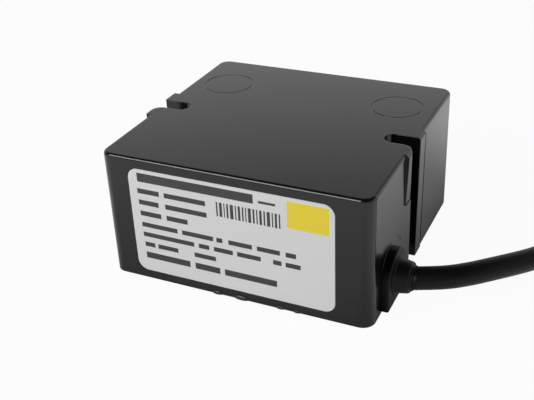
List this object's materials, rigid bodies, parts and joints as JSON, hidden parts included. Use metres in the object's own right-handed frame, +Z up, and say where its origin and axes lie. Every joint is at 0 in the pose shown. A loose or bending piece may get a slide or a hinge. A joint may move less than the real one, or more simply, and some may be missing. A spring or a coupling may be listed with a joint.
{
  "type": "ignition transformer",
  "caption": "Moulded ignition transformer with side slots for screws, a printed label, a cable gland with its mains lead and a high-voltage spike in a well at the rear.",
  "frame": {"origin": "middle of the case's foot, on the plane that it stands on", "axes": "+X to the right along the label, towards the gland; +Y from the label to the rear wall with the high-voltage well; +Z up"},
  "size_m": [0.2134, 0.1312, 0.0425],
  "materials": {
    "case_plastic": "semi-gloss moulded, glass-filled",
    "resin": "cast resin, glossy with a slight meniscus",
    "label": "satin printed film",
    "gland_plastic": "semi-gloss moulded",
    "sheath": "smooth satin sheath",
    "insulation_brown": "smooth insulation",
    "insulation_blue": "smooth insulation",
    "insulation_green_yellow": "smooth insulation with a stripe",
    "tinned_metal": "tinned",
    "board_laminate": "glass laminate with solder mask",
    "capacitor_case": "smooth moulded box",
    "varistor_coat": "dipped coating",
    "fuse_sleeve": "woven sleeve",
    "component_black": "moulded epoxy",
    "resistor_coat": "lacquered",
    "component_glass": "lacquered glass",
    "ferrite": "ground ferrite",
    "film": "polyester film",
    "spring_steel": "bright spring strip",
    "former_plastic": "natural nylon",
    "copper_wire": "enamelled copper",
    "wire_red": "smooth insulation",
    "silicone_wire": "silicone",
    "terminal_brass": "turned brass"
  },
  "bodies": {
    "root": {"case": "case_plastic", "potting_resin": "resin", "rating_label": "label", "cable_gland": "gland_plastic", "lead_inner": "sheath", "lead_run": "sheath", "lead_coil": "sheath", "lead_tail": "sheath", "core_brown": "insulation_brown", "core_blue": "insulation_blue", "core_green_yellow": "insulation_green_yellow", "core_ferrules": "tinned_metal", "inner_core_brown": "insulation_brown", "inner_core_blue": "insulation_blue", "inner_core_earth": "insulation_green_yellow", "circuit_board": "board_laminate", "storage_capacitor": "capacitor_case", "filter_capacitor": "capacitor_case", "varistor": "varistor_coat", "fuse_link": "fuse_sleeve", "rectifier_diodes": "component_black", "resistors": "resistor_coat", "thyristor": "component_black", "trigger_diode": "component_glass", "choke_core": "ferrite", "choke_winding": "copper_wire", "core_half_left": "ferrite", "core_half_right": "ferrite", "core_gap_film": "film", "core_clip": "spring_steel", "winding_former": "former_plastic", "primary_winding": "copper_wire", "secondary_winding": "copper_wire", "former_pins": "tinned_metal", "primary_lead_1": "wire_red", "primary_lead_2": "wire_red", "hv_lead": "silicone_wire", "hv_terminal": "terminal_brass"}
  },
  "joints": []
}
